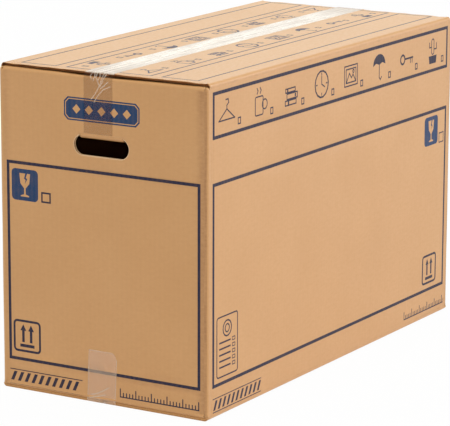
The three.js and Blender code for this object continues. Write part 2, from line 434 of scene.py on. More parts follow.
def roundedRectangle(left, low, right, high, radius, steps=4):
    loop = []
    corners = ((right - radius, low + radius, -90), (right - radius, high - radius, 0),
               (left + radius, high - radius, 90), (left + radius, low + radius, 180))
    for x, y, start in corners:
        for i in range(steps + 1):
            angle = math.radians(start + 90 * i / steps)
            loop.append((x + radius * math.cos(angle), y + radius * math.sin(angle)))
    return loop


def circle(x, y, radius, steps=14):
    angles = [2 * math.pi * i / steps for i in range(steps)]
    return [(x + radius * math.cos(angle), y + radius * math.sin(angle)) for angle in angles]


def ring(x, y, radius, width):
    return [circle(x, y, radius), circle(x, y, radius - width)]


def outlined(left, low, right, high, width, radius=0.0):
    inside = (left + width, low + width, right - width, high - width)
    if radius:
        return [roundedRectangle(left, low, right, high, radius),
                roundedRectangle(*inside, max(radius - width, 0.3))]
    return [rectangle(left, low, right, high), rectangle(*inside)]


def stroke(points, width):
    # One quad for each stretch, so crossing stretches stay inked
    shapes = []
    for (x0, y0), (x1, y1) in zip(points, points[1:]):
        length = math.hypot(x1 - x0, y1 - y0)
        dx, dy = (x1 - x0) / length * width / 2, (y1 - y0) / length * width / 2
        shapes.append([[(x0 - dx + dy, y0 - dy - dx), (x1 + dx + dy, y1 + dy - dx),
                        (x1 + dx - dy, y1 + dy + dx), (x0 - dx - dy, y0 - dy + dx)]])
    return shapes


def moved(shapes, dx, dy, scale=1.0):
    return [[[(x * scale + dx, y * scale + dy) for x, y in loop] for loop in shape] for shape in shapes]


def coatHanger(w):
    return (stroke([(-17, -8), (0, 4), (17, -8), (-17, -8)], w)
            + stroke([(0, 4), (0, 8), (4, 11), (3, 15), (-2, 15)], w))


def mug(w):
    return ([outlined(-11, -15, 8, 8, w, 3)] + [ring(11, -3, 6.5, w)]
            + stroke([(-6, 11), (-4, 14), (-6, 17)], w) + stroke([(1, 11), (3, 14), (1, 17)], w))


def bookStack(w):
    return ([outlined(-15, -14, 12, -7, w), outlined(-11, -7, 15, 1, w), outlined(-14, 1, 10, 7, w)]
            + [[rectangle(-8, -12.5, -5, -8.5)], [rectangle(8, -5, 11, -1)], [rectangle(-10, 2.5, -7, 5.5)]])


def wallClock(w):
    ticks = []
    for i in range(4):
        c, s = math.cos(i * math.pi / 2), math.sin(i * math.pi / 2)
        ticks += stroke([(11 * c, 11 * s), (13 * c, 13 * s)], w)
    return [ring(0, 0, 17, w * 1.4)] + stroke([(0, 0), (0, 9)], w) + stroke([(0, 0), (7, -4)], w) + ticks


def pictureFrame(w):
    return ([outlined(-17, -13, 17, 13, w), outlined(-13, -9, 13, 9, w)]
            + stroke([(-11, -7), (-4, 3), (1, -3), (5, 1), (11, -7)], w) + [ring(6, 4.5, 2.6, w)])


def umbrella(w):
    dome = [(16 * math.cos(math.radians(a)), 2 + 14 * math.sin(math.radians(a))) for a in range(0, 181, 20)]
    return ([[dome + [(-8, 5), (0, 2.5), (8, 5)]]] + stroke([(0, 3), (0, -13), (3, -16), (6, -13)], w))


def doorKey(w):
    return ([ring(-10, 0, 7, w * 1.6)] + stroke([(-3.5, 0), (17, 0)], w * 1.4)
            + stroke([(11, 0), (11, -6)], w) + stroke([(15.5, 0), (15.5, -6)], w))


def pottedCactus(w):
    return ([[[(-9, -16), (9, -16), (11, -6), (-11, -6)]]] + [outlined(-4, -5, 4, 16, w, 3.6)]
            + stroke([(4, 2), (10, 2), (10, 9)], w) + stroke([(-4, 5), (-9, 5), (-9, 11)], w))


motifs = (coatHanger, mug, bookStack, wallClock, pictureFrame, umbrella, doorKey, pottedCactus)


def fragileSign(left, low, size):
    # Solid square with a wine glass left bare, and a crack in the glass
    x, y = left + size / 2, low + size / 2
    u = size / 44
    glass = [(-9, 16), (-7.5, 2), (-2, -4), (-1.3, -4.5), (-1.3, -13), (-7, -15), (-7, -16.5),
             (7, -16.5), (7, -15), (1.3, -13), (1.3, -4.5), (2, -4), (7.5, 2), (9, 16)]
    crack = [(1, 16), (4, 16), (1.6, 10), (4.2, 8.5), (0.2, 1.5), (1.4, 7), (-1.2, 8.8)]
    glass.reverse()
    return [[roundedRectangle(left, low, left + size, low + size, 6 * u)]
            + [[(x + a * u, y + b * u) for a, b in loop] for loop in (glass, crack)]]


def thisWayUpSign(left, low, size):
    # Two arrows over a bar, in an outlined rounded square
    u = size / 46
    shapes = [outlined(left, low, left + size, low + size, 3.3 * u, 6.5 * u)]
    base, tip, shaft, head = low + 14 * u, low + 39.5 * u, 2.1 * u, 5 * u
    neck = tip - 9 * u
    for x in (left + 16.5 * u, left + 29.5 * u):
        shapes.append([[(x - shaft, base), (x + shaft, base), (x + shaft, neck), (x + head, neck),
                        (x, tip), (x - head, neck), (x - shaft, neck)]])
    shapes.append([rectangle(left + 11 * u, low + 7 * u, left + 35 * u, low + 11.4 * u)])
    return shapes


def stripeBand(left, low, right, high):
    # Slanted bars between two rules
    shapes = [[rectangle(left, low, right, low + 1.3)], [rectangle(left, high - 1.3, right, high)]]
    step, slant, bar = 11.5, 6.0, 5.2
    bottom, top = low + 3.4, high - 3.4
    count = int((right - left - slant - bar) // step) + 1
    for i in range(count):
        x = left + 1 + i * step
        shapes.append([[(x, bottom), (x + bar, bottom), (x + bar + slant, top), (x + slant, top)]])
    return shapes


def measuringScale(left, low, right):
    # A rule with a tick every 5 mm, and a long one every 25 mm
    shapes = [[rectangle(left, low, right, low + 1.7)]]
    for i in range(int((right - left) / 5) + 1):
        tall = 11 if i % 5 == 0 else 5.5
        x = left + i * 5
        shapes.append([rectangle(x, low + 1.7, x + 1.7, low + 1.7 + tall)])
    return shapes


def badgePanel(left, low, right, high):
    # Cut-cornered solid panel with a bare inner rule and a row of bare diamonds
    def chamfered(inset, cut):
        a, b, c, d = left + inset, low + inset, right - inset, high - inset
        return [(a + cut, b), (c - cut, b), (c, b + cut), (c, d - cut),
                (c - cut, d), (a + cut, d), (a, d - cut), (a, b + cut)]

    loops = [chamfered(0, 6), chamfered(2.0, 5.2), chamfered(3.2, 4.7)]
    middle = (low + high) / 2
    count = 5
    for i in range(count):
        x = left + (right - left) * (i + 1) / (count + 1)
        loops.append([(x, middle - 6.5), (x + 6.5, middle), (x, middle + 6.5), (x - 6.5, middle)])
    return [loops]


def dataLabel(left, low, right, high):
    # Outlined label with a plain dial, rules and tick boxes
    shapes = [outlined(left, low, right, high, 2.0, 5)]
    middle = (left + right) / 2
    shapes += [ring(middle, high - 19, 12, 2.2), ring(middle, high - 19, 6.5, 2.0)]
    y = high - 38
    while y > low + 8:
        shapes.append([rectangle(left + 7, y, right - 19, y + 2.4)])
        shapes.append(outlined(right - 15, y - 1.6, right - 7, y + 4.0, 1.3))
        y -= 8.5
    return shapes


# Print of each panel. Walls count height from the floor, top flaps from the wall's outer face.
frontPrint = {
    "frame": (-156, 41.5, 155.5, 323.5), "frameLine": 4.4, "sign": 44, "arrows": 46, "tickLine": 2.4,
}
sidePrint = {
    "lowFrame": (-341.5, 42.5, 341, 322.5), "highFrame": (-341.5, 381, 341, 444.5), "frameLine": 4.7,
    "motifLine": 1.6, "tick": (8, 10), "tickLine": 1.9,
}
topPrint = {
    "nearFrame": (24.5, 82.5), "farLine": 98.0, "endAt": 337.5,
    "line": 2.8, "motifLine": 2.4, "tickLine": 2.0,
}


def shortPanelInk():
    left, low, right, high = frontPrint["frame"]
    navy = [outlined(left, low, right, high, frontPrint["frameLine"])]
    navy += [outlined(-98.9, 269.5, -83, 284.5, frontPrint["tickLine"])]
    navy += thisWayUpSign(-148.5, 54, frontPrint["arrows"])
    navy += stripeBand(-155, 8, -34, 28)
    navy += measuringScale(27, 13, 154)
    blue = fragileSign(-148, 269, frontPrint["sign"]) + badgePanel(-60, 389, 61, 421)
    return {"navy": navy, "blue": blue}


def longPanelInk():
    line = sidePrint["frameLine"]
    navy = [outlined(*sidePrint["lowFrame"], line), outlined(*sidePrint["highFrame"], line)]
    blue = fragileSign(269, 269, 44)
    navy += [outlined(317, 268, 333, 284, 1.7)]
    navy += thisWayUpSign(269, 54, 46)
    navy += dataLabel(-331, 53, -275.5, 138)
    navy += stripeBand(-340, 8, -213, 28)
    navy += measuringScale(212, 13, 342)
    left, low, right, high = sidePrint["highFrame"]
    pitch = (right - left) / len(motifs)
    tickWide, tickHigh = sidePrint["tick"]
    for i, motif in enumerate(motifs):
        x = left + pitch * (i + 0.5)
        navy += moved(motif(sidePrint["motifLine"]), x - 7, (low + high) / 2, 1.18)
        navy += [outlined(x + 21, low + 11, x + 21 + tickWide, low + 11 + tickHigh, sidePrint["tickLine"])]
    return {"navy": navy, "blue": blue}


def topFlapInk():
    line, end = topPrint["line"], topPrint["endAt"]
    near, far = topPrint["nearFrame"]
    navy = [outlined(-end, near, end, far, line)]
    navy += [[rectangle(-end, topPrint["farLine"], end, topPrint["farLine"] + line)]]
    seamSide = flapLength / mm - 5
    for x in (-end, end - line):
        navy += [[rectangle(x, topPrint["farLine"] + line, x + line, seamSide)]]
    pitch = 2 * end / len(motifs)
    for i, motif in enumerate(motifs):
        x = -end + pitch * (i + 0.5)
        navy += moved(motif(topPrint["motifLine"]), x - 7, 121, 1.0)
        navy += [outlined(x + 18, 112, x + 26, 121.5, topPrint["tickLine"])]
    return {"navy": navy, "blue": []}


# Hand holes
handHole = {
    "width": 88 * mm, "height": 28 * mm, "drop": 100 * mm, "hingeRise": 0.8 * mm, "tongueLean": 15,
    "hingeHalf": 35 * mm, "kerf": 0.2 * mm, "arcSteps": 12, "rim": 1.0 * mm, "foldRadius": 6.2 * mm,
    "bendSteps": 10, "bladeSteps": 16, "halfColumns": 8, "tongueShade": 0.97, "bladeGap": 0.4 * mm,
}
handHole["middle"] = cartonHigh.z - handHole["drop"]
handHole["straight"] = (handHole["width"] - handHole["height"]) / 2
handHole["hingeTop"] = handHole["middle"] + handHole["height"] / 2 + handHole["hingeRise"]


def handHoleLoop(panel, shrink=0.0):
    # Slot with round ends, cut a little higher over the hinge so that the tongue can fold in
    radius, straight = handHole["height"] / 2 - shrink, handHole["straight"]
    middle = handHole["middle"] - panel["low"]
    hingeHalf = handHole["hingeHalf"] + handHole["kerf"]
    stop = math.acos((hingeHalf - straight) / radius)
    steps = handHole["arcSteps"]
    right = []
    for i in range(steps + 1):
        angle = -math.pi / 2 + (stop + math.pi / 2) * i / steps
        right.append((straight + radius * math.cos(angle), middle + radius * math.sin(angle)))
    right.append((hingeHalf, handHole["hingeTop"] - panel["low"] + shrink))
    loop = right + [(-x, y) for x, y in reversed(right)]
    return [(x / mm, y / mm) for x, y in loop]


# Meshing of the sheet
def spread(low, high, step, extra=()):
    # Even stations between two ends, with finer ones where the extra stations ask
    count = max(int(round((high - low) / step)), 1)
    stations = {round(low + (high - low) * i / count, 7) for i in range(count + 1)}
    stations |= {round(value, 7) for value in extra if low < value < high}
    return sorted(stations)


def tidyStations(stations, closest):
    kept = [stations[0]]
    for value in stations[1:-1]:
        if value - kept[-1] > closest and stations[-1] - value > closest:
            kept.append(value)
    return kept + [stations[-1]]


inkNumbers = (("blue", 2), ("navy", 1), ("rim", 3))


def patch(columns, rows, ink, hole=None):
    # Triangles of one flat stretch of sheet, in millimetres, each marked by its ink number or 0 for bare
    points = [(x, y) for y in rows for x in columns]
    wide, tall = len(columns), len(rows)
    border = [*range(wide)] + [wide * j + wide - 1 for j in range(1, tall)]
    border += [wide * (tall - 1) + i for i in range(wide - 2, -1, -1)]
    border += [wide * j for j in range(tall - 2, 0, -1)]
    edges = list(zip(border, border[1:] + border[:1]))
    faces, owners = [], []

    def addLoop(loop, owner):
        area = sum(a[0] * b[1] - b[0] * a[1] for a, b in zip(loop, loop[1:] + loop[:1]))
        start = len(points)
        points.extend(loop if area > 0 else list(reversed(loop)))
        faces.append(list(range(start, len(points))))
        owners.append(owner)

    if hole:
        addLoop(hole[0], "hole")
        addLoop(hole[1], ("rim", 0))
    for colour, shapes in ink.items():
        for number, shape in enumerate(shapes):
            for loop in shape:
                addLoop(loop, (colour, number))
    result = delaunay_2d_cdt([Vector(p) for p in points], edges, faces, 0, 1e-5)
    marked = []
    for triangle, inside in zip(result[2], result[5]):
        counts = {}
        for face in inside:
            counts[owners[face]] = counts.get(owners[face], 0) + 1
        if counts.get("hole"):
            continue
        inked = {owner[0] for owner, count in counts.items() if count % 2}
        marked.append((triangle, next((number for key, number in inkNumbers if key in inked), 0)))
    return [(p.x, p.y) for p in result[0]], marked


# How far the upright folds reach past the walls, and how much of their radius is left there
cornerTip = ((1.4 * mm, 0.97), (2.7 * mm, 0.88), (3.8 * mm, 0.70), (4.5 * mm, 0.42))
lowCornerTip = ((1.4 * mm, 1.02), (2.7 * mm, 1.03), (3.8 * mm, 1.01), (4.7 * mm, 0.94))


def pieceOf(bm, name, materials):
    # Object of a finished mesh, without loose points and smooth all over
    loose = [v for v in bm.verts if not v.link_faces]
    bmesh.ops.delete(bm, geom=loose, context="VERTS")
    for face in bm.faces:
        face.smooth = True
    mesh = bpy.data.meshes.new(name)
    bm.to_mesh(mesh)
    bm.free()
    for material in materials:
        mesh.materials.append(material)
    return placed(name, mesh)


def layQuads(bm, uv, rows, offset=0, flip=False, layer=None, valueOf=None):
    # Faces between neighbouring rows of points, each given as (across, along, vertex)
    for low, high in zip(rows, rows[1:]):
        for i in range(len(low) - 1):
            corners = [low[i], low[i + 1], high[i + 1], high[i]]
            if flip:
                corners.reverse()
            face = bm.faces.new([corner[2] for corner in corners])
            for loop, (across, along, _) in zip(face.loops, corners):
                loop[uv].uv = (across + offset, along)
                if valueOf:
                    loop[layer] = valueOf(across, along)


def thickened(piece, thickness, offset):
    # Gives paper or film its thickness, and turns all its modifiers into plain mesh
    solid = piece.modifiers.new("thickness", "SOLIDIFY")
    solid.thickness = thickness
    solid.offset = offset
    graph = bpy.context.evaluated_depsgraph_get()
    mesh = bpy.data.meshes.new_from_object(piece.evaluated_get(graph))
    piece.modifiers.clear()
    piece.data = mesh
    return piece


def foldPoint(panel, across, radius, angle, z, way=1):
    # Point of the upright fold at the right-hand edge of a panel, or at its left-hand edge where way is -1
    place = panel["outward"] * (panel["face"] - bendOutside) + panel["across"] * across
    place += panel["outward"] * (radius * math.cos(angle))
    place += panel["across"] * (way * radius * math.sin(angle))
    place.z = z
    return place


class SheetMesh:
    def __init__(self, name, depth):
        self.name, self.depth = name, depth
        self.bm = bmesh.new()
        self.uv = self.bm.loops.layers.uv.new("boardUv")
        # painted shade, stored per face corner for the board materials
        self.paintedShade = self.bm.loops.layers.float.new("paintedShade")

    def addPatch(self, panel, offset, points, marked, toAlong):
        verts = [self.bm.verts.new(sheetPoint(panel, x * mm, toAlong(y), self.depth)) for x, y in points]
        for triangle, colour in marked:
            face = self.bm.faces.new([verts[i] for i in triangle])
            face.material_index = colour
            for loop, i in zip(face.loops, triangle):
                across, along = points[i][0] * mm, toAlong(points[i][1])
                loop[self.uv].uv = (across + offset, along)
                loop[self.paintedShade] = paintedShadeAt(panel, across, along)

    def addBend(self, panel, offset, columns, side):
        facets = board["bendFacets"]
        start = panel["rise"] if side > 0 else 0
        stations = [start + side * bendLength * i / facets for i in range(facets + 1)]
        rows = [[(x * mm, s, self.bm.verts.new(sheetPoint(panel, x * mm, s, self.depth))) for x in columns]
                for s in stations]
        self.addQuads(rows, offset, side < 0)

    def addQuads(self, rows, offset, flip=False, shadeOf=None):
        layQuads(self.bm, self.uv, rows, offset, flip, self.paintedShade, shadeOf)

    def addCorner(self, panel, neighbour, offset, heights):
        # Upright fold from one panel's right-hand edge to the next panel's left-hand edge
        facets = board["bendFacets"]
        across = panel["acrossHigh"]
        radius = bendOutside - self.depth
        rows = []
        stations = [(heights[0] - rise, share) for rise, share in reversed(lowCornerTip)]
        stations += [(z, 1.0) for z in heights]
        stations += [(heights[-1] + rise, share) for rise, share in cornerTip]
        for z, share in stations:
            row = []
            for i in range(facets + 1):
                angle = math.pi / 2 * i / facets
                if i == 0 and share == 1:
                    place = sheetPoint(panel, across, z - panel["low"], self.depth)
                elif i == facets and share == 1:
                    place = sheetPoint(neighbour, neighbour["acrossLow"], z - neighbour["low"], self.depth)
                else:
                    place = foldPoint(panel, across, (radius + crease(angle, z)) * share, angle, z)
                row.append((across + bendMiddle * angle, z, self.bm.verts.new(place)))
            rows.append(row)
        # painted shade on the first third of the upright fold
        self.addQuads(rows, offset, shadeOf=lambda x, z: uprightFoldShade((x - across) / bendLength, z))

    def finish(self, materials):
        bmesh.ops.remove_doubles(self.bm, verts=self.bm.verts, dist=0.02 * mm)
        return thickened(pieceOf(self.bm, self.name, materials), board["liner"], -1)


def crease(angle, z):
    # Handling flattens the upright folds a little, unevenly along their height
    worn = settle["uprightWorn"] * noise.noise(Vector((angle * 2, z * 14, 4.2)))
    return (settle["uprightSquare"] + worn) * math.sin(2 * angle)


def uprightFoldShade(turned, z):
    # Painted shade on the first third of each upright fold, which fades out by its middle
    uneven = 0.75 + 0.5 * noise.noise(Vector((turned * 3, z * 30, 8.1)))
    return min(uneven * 0.85 * (1 - smooth((turned - 0.36) / 0.14)), 0.92)


def panelColumns(panel, step):
    # Stations across a panel, in millimetres, closer together near its upright folds
    half = panel["halfFlap"] / mm
    fine = [sign * (half - distance) for sign in (-1, 1) for distance in board["endStations"]]
    return tidyStations(spread(-half, half, step, fine), 0.8)


def columnsTo(columns, end):
    # The same stations, drawn out or cut back to another end
    return [-end] + [x for x in columns if abs(x) < end - 0.3] + [end]


def endOf(panel, side):
    # Half the width of a flap: the outer flaps of the bottom reach further than the rest
    return panel["halfFlap"] + (settle["lowFlapReach"] if side < 0 and panel["layer"] == 0 else 0.0)


def outerSheet(depth, name, printed):
    sheet = SheetMesh(name, depth)
    shortLow, shortHigh = panels["front"]["low"], panels["front"]["high"]
    heights = spread(shortLow, shortHigh, (12 if printed else 24) * mm)
    starts = {"front": 0.0, "right": 0.4, "back": 1.2, "left": 1.6}
    for panelName, panel in panels.items():
        isLong = panel["layer"] == 0
        ink = (longPanelInk() if isLong else shortPanelInk()) if printed else {}
        lowMm = panel["low"] / mm
        wallStep = board["wallGrid" if printed else "innerGrid"]
        columns = panelColumns(panel, wallStep)
        left, right = panel["acrossLow"] / mm, panel["acrossHigh"] / mm
        wallColumns = [left] + [x for x in columns if left + 0.3 < x < right - 0.3] + [right]
        zRows = heights if not isLong else [panel["low"]] + heights + [panel["high"]]
        wallRows = [z / mm - lowMm for z in zRows]
        riseMm = panel["rise"] / mm
        nearFolds = [at for distance in board["foldStations"] for at in (distance, riseMm - distance)]
        joined = sorted(wallRows + nearFolds)
        wallRows = joined[:1] + [b for a, b in zip(joined, joined[1:]) if b - a > 0.35 or b in wallRows]
        shifted = {key: moved(shapes, 0, -lowMm) for key, shapes in ink.items()}
        hole = None if isLong else (handHoleLoop(panel), handHoleLoop(panel, -handHole["rim"]))
        points, marked = patch(wallColumns, wallRows, shifted, hole)
        sheet.addPatch(panel, starts[panelName], points, marked, lambda y: y * mm)
        for side in (1, -1):
            end = endOf(panel, side) / mm
            if isLong and side > 0 and not printed:
                end -= settle["tornBack"] / mm
            flapColumns = columnsTo(columns, end) if end != panel["halfFlap"] / mm else columns
            sheet.addBend(panel, starts[panelName], flapColumns, side)
            start = panel["rise"] + bendLength
            flapRows = spread(bendOutside / mm, (bendOutside + flapRun) / mm, board["flapGrid"], (8, 11, 14))
            flapInk = topFlapInk() if printed and isLong and side > 0 else {}
            points, marked = patch(flapColumns, flapRows, flapInk)
            if side < 0:
                marked = [(list(reversed(t)), colour) for t, colour in marked]
                toAlong = lambda y: -bendLength - (y * mm - bendOutside)
            else:
                toAlong = lambda y, start=start: start + y * mm - bendOutside
            sheet.addPatch(panel, starts[panelName], points, marked, toAlong)
    order = ["left", "front", "right", "back"]
    for one, other in zip(order, order[1:]):
        sheet.addCorner(panels[one], panels[other], starts[one], heights)
    addGlueTab(sheet, heights)
    return sheet.finish([bareBoard, navyPrint, bluePrint, cutEdge])


def addGlueTab(sheet, heights):
    # The left panel folds on into the tab, which is glued inside the back panel
    panel = panels["left"]
    facets = board["bendFacets"]
    across = panel["acrossLow"]
    radius = bendOutside - sheet.depth
    run = board["tabWidth"] - bendMiddle
    rows = []
    for z in heights:
        row = []
        for i in range(facets + 1):
            angle = math.pi / 2 * (1 - i / facets)
            place = foldPoint(panel, across, radius, angle, z, -1)
            if i == facets:
                place = sheetPoint(panel, across, z - panel["low"], sheet.depth)
                place.z = z
            row.append((across - bendMiddle * angle, z, sheet.bm.verts.new(place)))
        tip = foldPoint(panel, across, radius, math.pi / 2, z, -1) - panel["outward"] * run
        rows.append([(across - bendLength - run, z, sheet.bm.verts.new(tip))] + row)
    sheet.addQuads(rows, 1.6)


outerLiner = outerSheet(0, "outerLiner", True)
innerLiner = outerSheet(board["thickness"] - board["liner"], "innerLiner", False)
print("liners are folded:", len(outerLiner.data.polygons), "and", len(innerLiner.data.polygons), "faces")


# Fluting between the liners, shown wherever the board has a raw edge
fluting = {
    "pitch": 7.5 * mm, "height": 2.9 * mm, "paper": 0.25 * mm, "facets": 10,
    "edgeDepth": 7 * mm, "recess": 0.35 * mm, "holeRecess": 2.2 * mm, "endRecess": 6 * mm,
    "endDepth": 10 * mm, "foldOverlap": 3 * mm, "lowEndRecess": 0.5 * mm, "crushed": 0.12,
    "rowStep": 6 * mm, "holeRowStep": 1 * mm,
}


def flutedSheetTree():
    # Flat grid raised into waves: the wavy paper of the board, before it is laid along an edge
    tree = bpy.data.node_groups.new("flutedSheet", "GeometryNodeTree")
    sockets = {"Across": "Float", "Along": "Float", "Pitch": "Float", "Height": "Float",
               "Columns": "Int", "Rows": "Int", "Paper": "Material"}
    for name, kind in sockets.items():
        tree.interface.new_socket(name, in_out="INPUT", socket_type="NodeSocket" + kind)
    tree.interface.new_socket("Geometry", in_out="OUTPUT", socket_type="NodeSocketGeometry")

    def step(kind, inputs):
        return feed(tree, tree.nodes.new(kind), inputs).outputs

    sizes = step("NodeGroupInput", {})
    grid = step("GeometryNodeMeshGrid", {"Size X": sizes["Across"], "Size Y": sizes["Along"],
                                         "Vertices X": sizes["Columns"], "Vertices Y": sizes["Rows"]})
    parts = addNode(tree, "SeparateXYZ", {0: step("GeometryNodeInputPosition", {})[0]})
    turns = combine(tree, "DIVIDE", parts.outputs["X"], sizes["Pitch"])
    wave = combine(tree, "SINE", combine(tree, "MULTIPLY", turns, 2 * math.pi))
    lift = combine(tree, "MULTIPLY", wave, combine(tree, "MULTIPLY", sizes["Height"], 0.5))
    offset = addNode(tree, "CombineXYZ", {"Z": lift}).outputs[0]
    raised = step("GeometryNodeSetPosition", {"Geometry": grid["Mesh"], "Offset": offset})
    real = step("GeometryNodeRealizeInstances", {0: raised[0]})
    dressed = step("GeometryNodeSetMaterial", {"Geometry": real[0], "Material": sizes["Paper"]})
    step("NodeGroupOutput", {0: dressed[0]})
    return tree


flutedSheet = flutedSheetTree()


def flutedPatch(across, along, rowStep):
    # One wavy patch around the origin, as a mesh whose Z is the height in the board
    carrier = placed("flutedPatch", bpy.data.meshes.new("flutedPatch"))
    modifier = carrier.modifiers.new("flutes", "NODES")
    modifier.node_group = flutedSheet
    values = {
        "Across": across, "Along": along, "Pitch": fluting["pitch"], "Height": fluting["height"],
        "Columns": max(int(across / fluting["pitch"] * fluting["facets"]), 4) + 1,
        "Rows": max(int(round(along / rowStep)), 1) + 1, "Paper": flutingPaper,
    }
    for item in flutedSheet.interface.items_tree:
        if item.in_out == "INPUT":
            modifier[item.identifier] = values[item.name]
    mesh = thickened(carrier, fluting["paper"], 0).data
    bpy.data.objects.remove(carrier)
    return mesh


class FlutingMesh:
    def __init__(self):
        self.bm = bmesh.new()

    def lay(self, acrossLow, acrossHigh, alongLow, alongHigh, placeOf, rowStep=None, skip=None):
        # Lays a wavy patch between four stations; placeOf gives a point across, along and deep in the board
        mesh = flutedPatch(acrossHigh - acrossLow, alongHigh - alongLow, rowStep or fluting["rowStep"])
        middleAcross, middleAlong = (acrossLow + acrossHigh) / 2, (alongLow + alongHigh) / 2
        laid = bmesh.new()
        laid.from_mesh(mesh)
        if skip:
            centres = [(face, face.calc_center_median()) for face in laid.faces]
            unwanted = [face for face, c in centres if skip(c.x + middleAcross, c.y + middleAlong)]
            bmesh.ops.delete(laid, geom=unwanted, context="FACES")
        for vert in laid.verts:
            x, y, z = vert.co
            vert.co = placeOf(x + middleAcross, y + middleAlong, board["thickness"] / 2 - z)
        laid.to_mesh(mesh)
        laid.free()
        self.bm.from_mesh(mesh)
        bpy.data.meshes.remove(mesh)

    def finish(self, name):
        bmesh.ops.recalc_face_normals(self.bm, faces=self.bm.faces)
        return pieceOf(self.bm, name, [flutingPaper])


def inHandHole(panel, x, along, margin):
    # True inside the punched slot, or this close to its edge
    y = along + panel["low"] - handHole["middle"]
    inSlot = math.hypot(max(abs(x) - handHole["straight"], 0), y) < handHole["height"] / 2 + margin
    halfHinge = handHole["hingeHalf"] + handHole["kerf"] + margin
    hingeRise = handHole["hingeTop"] - handHole["middle"] + margin
    return inSlot or (abs(x) < halfHinge and 0 < y < hingeRise)


def makeFluting():
    mesh = FlutingMesh()
    depth, recess = fluting["edgeDepth"], fluting["recess"]
    tip = bendLength + flapRun
    for panel in panels.values():
        def placeOf(x, along, deep, panel=panel):
            return sheetPoint(panel, x, along, deep)

        for side in (1, -1):
            end = endOf(panel, side)
            edge = panel["rise"] + tip if side > 0 else -tip
            low, high = sorted((edge - side * recess, edge - side * depth))
            if panel["layer"] == 0:
                mesh.lay(-end + recess, end - recess, low, high, placeOf)
            start = panel["rise"] if side > 0 else 0
            low, high = sorted((start - side * fluting["foldOverlap"], start + side * (tip - depth)))
            for sign in (1, -1):
                near, far = sorted((sign * (end - fluting["endRecess"]), sign * (end - fluting["endDepth"])))
                mesh.lay(near, far, low, high, placeOf)

                def endPlace(x, y, deep, panel=panel, edge=sign * end, sign=sign):
                    inward = fluting["lowEndRecess"] + fluting["crushed"] * deep
                    return sheetPoint(panel, edge - sign * inward, x, y)

                if side < 0 and panel["layer"] == 0:
                    mesh.lay(low, high, board["liner"], board["thickness"] - board["liner"], endPlace,
                             fluting["holeRowStep"])
        if panel["layer"]:
            half, height = handHole["width"] / 2, handHole["height"] / 2
            middle = handHole["middle"] - panel["low"]

            def skip(x, y, panel=panel):
                return inHandHole(panel, x, y, fluting["holeRecess"])

            mesh.lay(-half - depth, half + depth, middle - height - depth, middle + height + depth,
                     placeOf, fluting["holeRowStep"], skip)
    back = panels["back"]
    mesh.lay(back["acrossHigh"] - depth, back["acrossHigh"] - recess, 0, back["rise"],
             lambda x, along, deep: sheetPoint(back, x, along, deep))
    return mesh.finish("fluting")


# Tongues of the hand holes, folded in and up behind the wall
tongueTurn = math.pi - math.radians(handHole["tongueLean"])
tongueBend = (handHole["foldRadius"] - board["thickness"] / 2) * tongueTurn


def tonguePoint(panel, t, along, depth):
    # t runs from -1 to 1 across the tongue and along follows it from the hinge
    straight, radius = handHole["straight"], handHole["height"] / 2
    angle = min(along / tongueBend, 1) * tongueTurn
    blade = max(along - tongueBend, 0)
    halfWide = straight + math.sqrt(max(radius ** 2 - (radius - min(blade, 2 * radius)) ** 2, 0))
    if blade < radius:
        halfWide = max(halfWide, handHole["hingeHalf"])
    x = t * halfWide
    turnRadius = handHole["foldRadius"] - depth
    out = (panel["face"] - handHole["foldRadius"] + turnRadius * math.cos(angle)
           - blade * math.sin(tongueTurn) + relief(panel, x, handHole["hingeTop"] - panel["low"]))
    z = handHole["hingeTop"] - turnRadius * math.sin(angle) - blade * math.cos(tongueTurn)
    return panel["outward"] * out + panel["across"] * x + up * z


def makeTongues():
    bend, blade = tongueBend, handHole["height"]
    bendSteps, bladeSteps, halfColumns = (handHole[key] for key in ("bendSteps", "bladeSteps", "halfColumns"))
    stations = [bend * i / bendSteps for i in range(bendSteps + 1)]
    turns = [math.pi * i / bladeSteps for i in range(1, bladeSteps + 1)]
    stations += [bend + blade * (1 - math.cos(turn)) / 2 for turn in turns]
    stations[-1] -= handHole["bladeGap"]
    spots = [i / halfColumns for i in range(-halfColumns, halfColumns + 1)]
    liners = []
    for name, depth in (("tongueOuterLiner", 0), ("tongueInnerLiner", board["thickness"] - board["liner"])):
        sheet = SheetMesh(name, depth)
        for panel in (panels["front"], panels["back"]):
            rows = [[(t, s, sheet.bm.verts.new(tonguePoint(panel, t, s, depth))) for t in spots]
                    for s in stations]
            # Unshaded at the hinge, with painted shade from the middle of the fold on
            sheet.addQuads(rows, 0, flip=True,
                           shadeOf=lambda t, s: handHole["tongueShade"] * smooth(s / (0.62 * bend) - 0.12))
        liners.append(sheet.finish([bareBoard]))
    flutes = FlutingMesh()
    for panel in (panels["front"], panels["back"]):
        half = handHole["width"] / 2

        def placeOf(x, along, deep, panel=panel):
            return tonguePoint(panel, x / half * 0.985, along, deep)

        flutes.lay(-half, half, 0.5 * mm, bend + blade - 2 * handHole["bladeGap"], placeOf, 1.5 * mm)
    return liners + [flutes.finish("tongueFluting")]


flutes = makeFluting()
tongues = makeTongues()
print("fluting is laid:", len(flutes.data.polygons), "faces")


